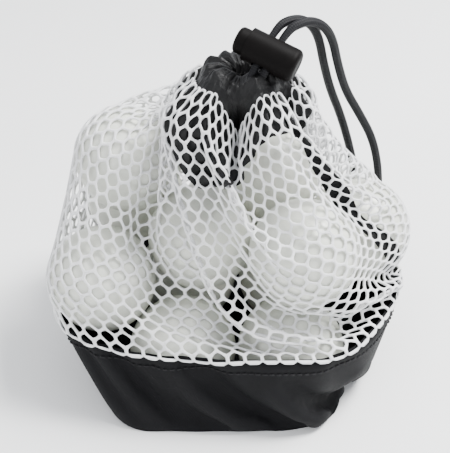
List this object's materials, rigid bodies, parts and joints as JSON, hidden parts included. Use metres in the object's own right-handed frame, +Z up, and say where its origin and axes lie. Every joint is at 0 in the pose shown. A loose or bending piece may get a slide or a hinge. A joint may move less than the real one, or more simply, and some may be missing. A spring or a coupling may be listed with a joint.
{
  "type": "mesh ball bag",
  "caption": "Drawstring net bag with a woven base band and satin collar, cinched over a pile of small balls by a braided cord and a push-button cord lock.",
  "frame": {"origin": "middle of the square woven bottom, on the surface the bag stands on", "axes": "+Z up to the cinched mouth, +X to the bag's right side where the seam tape runs, -Y to its front"},
  "size_m": [0.1508, 0.1342, 0.1504],
  "materials": {
    "woven_nylon": "plain-weave black nylon",
    "white_net": "white polyester hexagonal mesh",
    "binding_tape": "black woven binding tape",
    "satin_collar": "thin glossy black satin",
    "braided_cord": "black 3.6 mm braided cord",
    "lock_plastic": "black moulded plastic",
    "spring_steel": "drawn spring wire",
    "ball_cover": "white dimpled ball cover"
  },
  "bodies": {
    "bag": {"base_floor": "woven_nylon", "base_band": "woven_nylon", "net_body": "white_net", "seam_tape": "binding_tape", "collar": "satin_collar", "drawstring_loop": "braided_cord", "strand_left": "braided_cord", "strand_right": "braided_cord", "cord_knot": "braided_cord", "ball_01": "ball_cover", "ball_02": "ball_cover", "ball_03": "ball_cover", "ball_04": "ball_cover", "ball_05": "ball_cover", "ball_06": "ball_cover", "ball_07": "ball_cover", "ball_08": "ball_cover", "ball_09": "ball_cover", "ball_10": "ball_cover", "ball_11": "ball_cover", "ball_12": "ball_cover"},
    "cord_lock": {"lock_barrel": "lock_plastic", "lock_spring": "spring_steel"},
    "button": {"lock_button": "lock_plastic"}
  },
  "joints": [
    {"name": "lock_slide", "type": "slide", "parent": "bag", "child": "cord_lock", "axis": [0.4659, 0.553, 0.6908], "range_m": [0, 0.0025]},
    {"name": "button_press", "type": "slide", "parent": "cord_lock", "child": "button", "axis": [0.8815, -0.3566, -0.3095], "range_m": [0, 0.0035], "stiffness_N_per_m": 1200, "springref_m": -0.004, "deforming": ["lock_spring"]}
  ]
}
